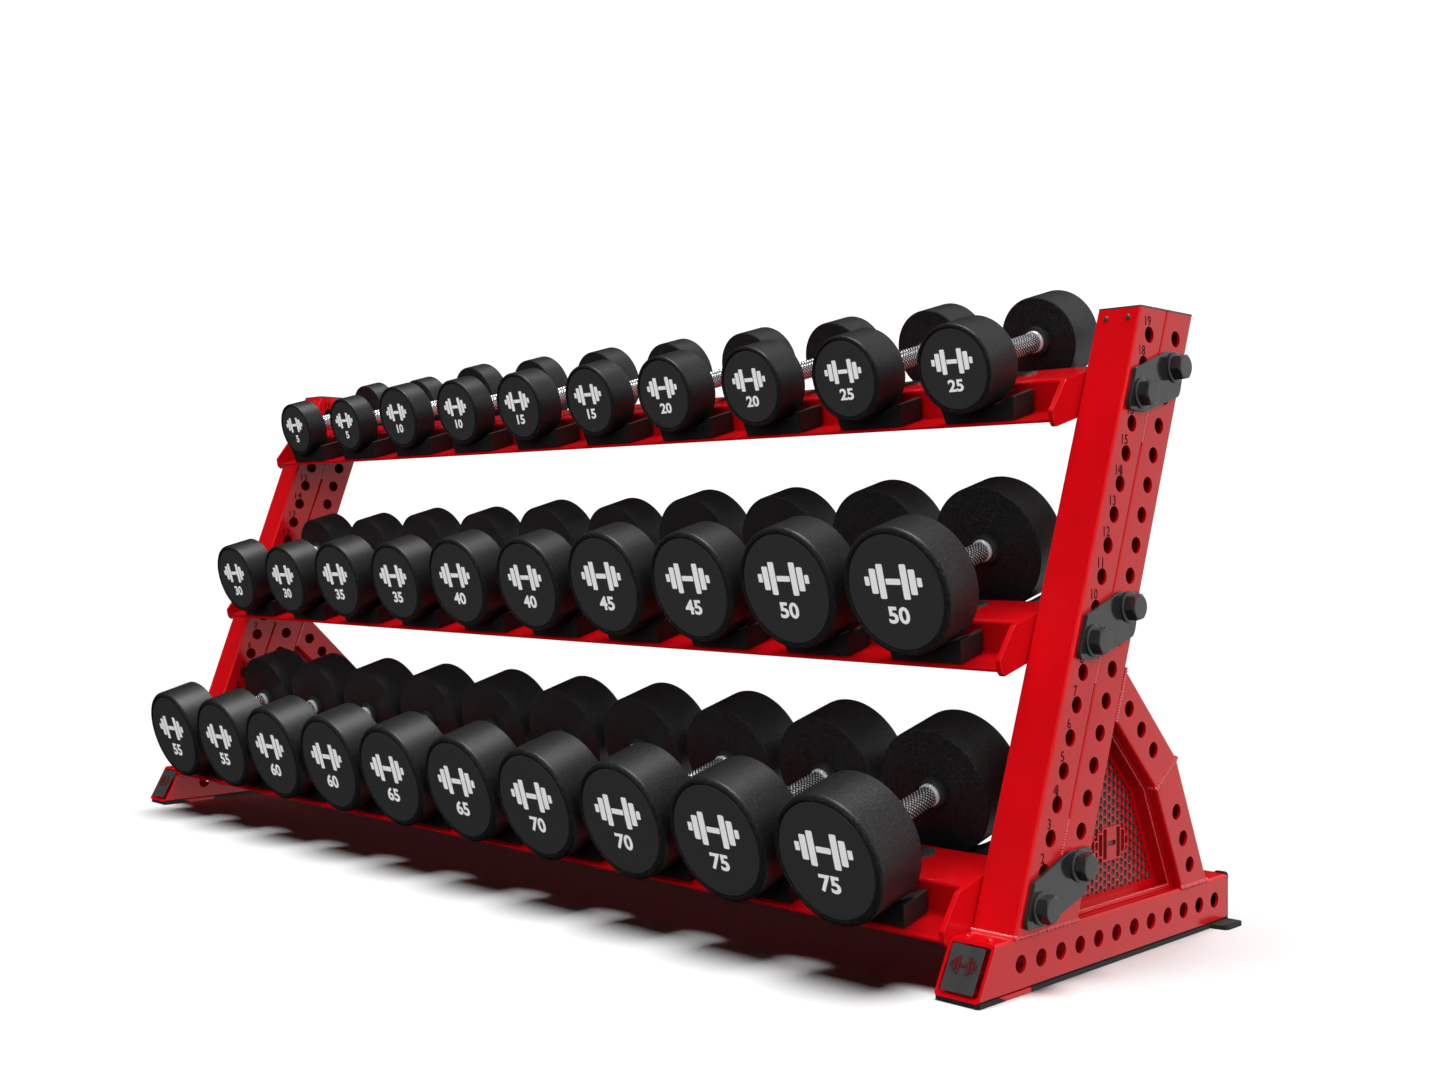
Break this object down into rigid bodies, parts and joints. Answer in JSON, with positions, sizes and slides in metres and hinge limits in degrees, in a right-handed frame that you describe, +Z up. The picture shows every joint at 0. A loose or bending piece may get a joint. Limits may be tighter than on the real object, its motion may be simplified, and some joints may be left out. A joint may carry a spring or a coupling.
{
  "type": "dumbbell rack",
  "caption": "Leaning two-frame steel rack with three tilted shelves of saddles, loaded with round-head dumbbells in rising weights.",
  "frame": {"origin": "middle of the footprint, on the floor under the foot pads", "axes": "+X along the shelves to the right seen from the front, +Y to the back, +Z up"},
  "size_m": [2.6196, 0.8, 1.0865],
  "materials": {
    "red_paint": "gloss powder coat",
    "dark_plate": "dark grey coat, half gloss",
    "black_plastic": "matt",
    "pad_rubber": "matt",
    "urethane": "fine textured black coat over an iron head, bright knurled grip"
  },
  "bodies": {
    "rack": {"base_tube_left": "red_paint", "base_tube_right": "red_paint", "bolt_plate_bottom_left": "dark_plate", "bolt_plate_bottom_right": "dark_plate", "bolt_plate_middle_left": "dark_plate", "bolt_plate_middle_right": "dark_plate", "bolt_plate_top_left": "dark_plate", "bolt_plate_top_right": "dark_plate", "foot_pad_left": "pad_rubber", "foot_pad_right": "pad_rubber", "front_cap_left": "black_plastic", "front_cap_right": "black_plastic", "gusset_left": "red_paint", "gusset_right": "red_paint", "rear_brace_left": "red_paint", "rear_brace_right": "red_paint", "saddles_front_bottom": "black_plastic", "saddles_front_middle": "black_plastic", "saddles_front_top": "black_plastic", "saddles_rear_bottom": "black_plastic", "saddles_rear_middle": "black_plastic", "saddles_rear_top": "black_plastic", "shelf_bottom": "red_paint", "shelf_middle": "red_paint", "shelf_top": "red_paint", "top_cap_left": "black_plastic", "top_cap_right": "black_plastic", "uprights_left": "red_paint", "uprights_right": "red_paint"},
    "dumbbell_05_a": {"dumbbell_05_a": "urethane"},
    "dumbbell_05_b": {"dumbbell_05_b": "urethane"},
    "dumbbell_10_a": {"dumbbell_10_a": "urethane"},
    "dumbbell_10_b": {"dumbbell_10_b": "urethane"},
    "dumbbell_15_a": {"dumbbell_15_a": "urethane"},
    "dumbbell_15_b": {"dumbbell_15_b": "urethane"},
    "dumbbell_20_a": {"dumbbell_20_a": "urethane"},
    "dumbbell_20_b": {"dumbbell_20_b": "urethane"},
    "dumbbell_25_a": {"dumbbell_25_a": "urethane"},
    "dumbbell_25_b": {"dumbbell_25_b": "urethane"},
    "dumbbell_30_a": {"dumbbell_30_a": "urethane"},
    "dumbbell_30_b": {"dumbbell_30_b": "urethane"},
    "dumbbell_35_a": {"dumbbell_35_a": "urethane"},
    "dumbbell_35_b": {"dumbbell_35_b": "urethane"},
    "dumbbell_40_a": {"dumbbell_40_a": "urethane"},
    "dumbbell_40_b": {"dumbbell_40_b": "urethane"},
    "dumbbell_45_a": {"dumbbell_45_a": "urethane"},
    "dumbbell_45_b": {"dumbbell_45_b": "urethane"},
    "dumbbell_50_a": {"dumbbell_50_a": "urethane"},
    "dumbbell_50_b": {"dumbbell_50_b": "urethane"},
    "dumbbell_55_a": {"dumbbell_55_a": "urethane"},
    "dumbbell_55_b": {"dumbbell_55_b": "urethane"},
    "dumbbell_60_a": {"dumbbell_60_a": "urethane"},
    "dumbbell_60_b": {"dumbbell_60_b": "urethane"},
    "dumbbell_65_a": {"dumbbell_65_a": "urethane"},
    "dumbbell_65_b": {"dumbbell_65_b": "urethane"},
    "dumbbell_70_a": {"dumbbell_70_a": "urethane"},
    "dumbbell_70_b": {"dumbbell_70_b": "urethane"},
    "dumbbell_75_a": {"dumbbell_75_a": "urethane"},
    "dumbbell_75_b": {"dumbbell_75_b": "urethane"}
  },
  "joints": [
    {"name": "dumbbell_05_a_lift", "type": "slide", "parent": "rack", "child": "dumbbell_05_a", "axis": [0, -0.848, 0.5299], "range_m": [0, 0.4]},
    {"name": "dumbbell_05_b_lift", "type": "slide", "parent": "rack", "child": "dumbbell_05_b", "axis": [0, -0.848, 0.5299], "range_m": [0, 0.4]},
    {"name": "dumbbell_10_a_lift", "type": "slide", "parent": "rack", "child": "dumbbell_10_a", "axis": [0, -0.848, 0.5299], "range_m": [0, 0.4]},
    {"name": "dumbbell_10_b_lift", "type": "slide", "parent": "rack", "child": "dumbbell_10_b", "axis": [0, -0.848, 0.5299], "range_m": [0, 0.4]},
    {"name": "dumbbell_15_a_lift", "type": "slide", "parent": "rack", "child": "dumbbell_15_a", "axis": [0, -0.848, 0.5299], "range_m": [0, 0.4]},
    {"name": "dumbbell_15_b_lift", "type": "slide", "parent": "rack", "child": "dumbbell_15_b", "axis": [0, -0.848, 0.5299], "range_m": [0, 0.4]},
    {"name": "dumbbell_20_a_lift", "type": "slide", "parent": "rack", "child": "dumbbell_20_a", "axis": [0, -0.848, 0.5299], "range_m": [0, 0.4]},
    {"name": "dumbbell_20_b_lift", "type": "slide", "parent": "rack", "child": "dumbbell_20_b", "axis": [0, -0.848, 0.5299], "range_m": [0, 0.4]},
    {"name": "dumbbell_25_a_lift", "type": "slide", "parent": "rack", "child": "dumbbell_25_a", "axis": [0, -0.848, 0.5299], "range_m": [0, 0.4]},
    {"name": "dumbbell_25_b_lift", "type": "slide", "parent": "rack", "child": "dumbbell_25_b", "axis": [0, -0.848, 0.5299], "range_m": [0, 0.4]},
    {"name": "dumbbell_30_a_lift", "type": "slide", "parent": "rack", "child": "dumbbell_30_a", "axis": [0, -0.848, 0.5299], "range_m": [0, 0.4]},
    {"name": "dumbbell_30_b_lift", "type": "slide", "parent": "rack", "child": "dumbbell_30_b", "axis": [0, -0.848, 0.5299], "range_m": [0, 0.4]},
    {"name": "dumbbell_35_a_lift", "type": "slide", "parent": "rack", "child": "dumbbell_35_a", "axis": [0, -0.848, 0.5299], "range_m": [0, 0.4]},
    {"name": "dumbbell_35_b_lift", "type": "slide", "parent": "rack", "child": "dumbbell_35_b", "axis": [0, -0.848, 0.5299], "range_m": [0, 0.4]},
    {"name": "dumbbell_40_a_lift", "type": "slide", "parent": "rack", "child": "dumbbell_40_a", "axis": [0, -0.848, 0.5299], "range_m": [0, 0.4]},
    {"name": "dumbbell_40_b_lift", "type": "slide", "parent": "rack", "child": "dumbbell_40_b", "axis": [0, -0.848, 0.5299], "range_m": [0, 0.4]},
    {"name": "dumbbell_45_a_lift", "type": "slide", "parent": "rack", "child": "dumbbell_45_a", "axis": [0, -0.848, 0.5299], "range_m": [0, 0.4]},
    {"name": "dumbbell_45_b_lift", "type": "slide", "parent": "rack", "child": "dumbbell_45_b", "axis": [0, -0.848, 0.5299], "range_m": [0, 0.4]},
    {"name": "dumbbell_50_a_lift", "type": "slide", "parent": "rack", "child": "dumbbell_50_a", "axis": [0, -0.848, 0.5299], "range_m": [0, 0.4]},
    {"name": "dumbbell_50_b_lift", "type": "slide", "parent": "rack", "child": "dumbbell_50_b", "axis": [0, -0.848, 0.5299], "range_m": [0, 0.4]},
    {"name": "dumbbell_55_a_lift", "type": "slide", "parent": "rack", "child": "dumbbell_55_a", "axis": [0, -0.848, 0.5299], "range_m": [0, 0.4]},
    {"name": "dumbbell_55_b_lift", "type": "slide", "parent": "rack", "child": "dumbbell_55_b", "axis": [0, -0.848, 0.5299], "range_m": [0, 0.4]},
    {"name": "dumbbell_60_a_lift", "type": "slide", "parent": "rack", "child": "dumbbell_60_a", "axis": [0, -0.848, 0.5299], "range_m": [0, 0.4]},
    {"name": "dumbbell_60_b_lift", "type": "slide", "parent": "rack", "child": "dumbbell_60_b", "axis": [0, -0.848, 0.5299], "range_m": [0, 0.4]},
    {"name": "dumbbell_65_a_lift", "type": "slide", "parent": "rack", "child": "dumbbell_65_a", "axis": [0, -0.848, 0.5299], "range_m": [0, 0.4]},
    {"name": "dumbbell_65_b_lift", "type": "slide", "parent": "rack", "child": "dumbbell_65_b", "axis": [0, -0.848, 0.5299], "range_m": [0, 0.4]},
    {"name": "dumbbell_70_a_lift", "type": "slide", "parent": "rack", "child": "dumbbell_70_a", "axis": [0, -0.848, 0.5299], "range_m": [0, 0.4]},
    {"name": "dumbbell_70_b_lift", "type": "slide", "parent": "rack", "child": "dumbbell_70_b", "axis": [0, -0.848, 0.5299], "range_m": [0, 0.4]},
    {"name": "dumbbell_75_a_lift", "type": "slide", "parent": "rack", "child": "dumbbell_75_a", "axis": [0, -0.848, 0.5299], "range_m": [0, 0.4]},
    {"name": "dumbbell_75_b_lift", "type": "slide", "parent": "rack", "child": "dumbbell_75_b", "axis": [0, -0.848, 0.5299], "range_m": [0, 0.4]}
  ]
}
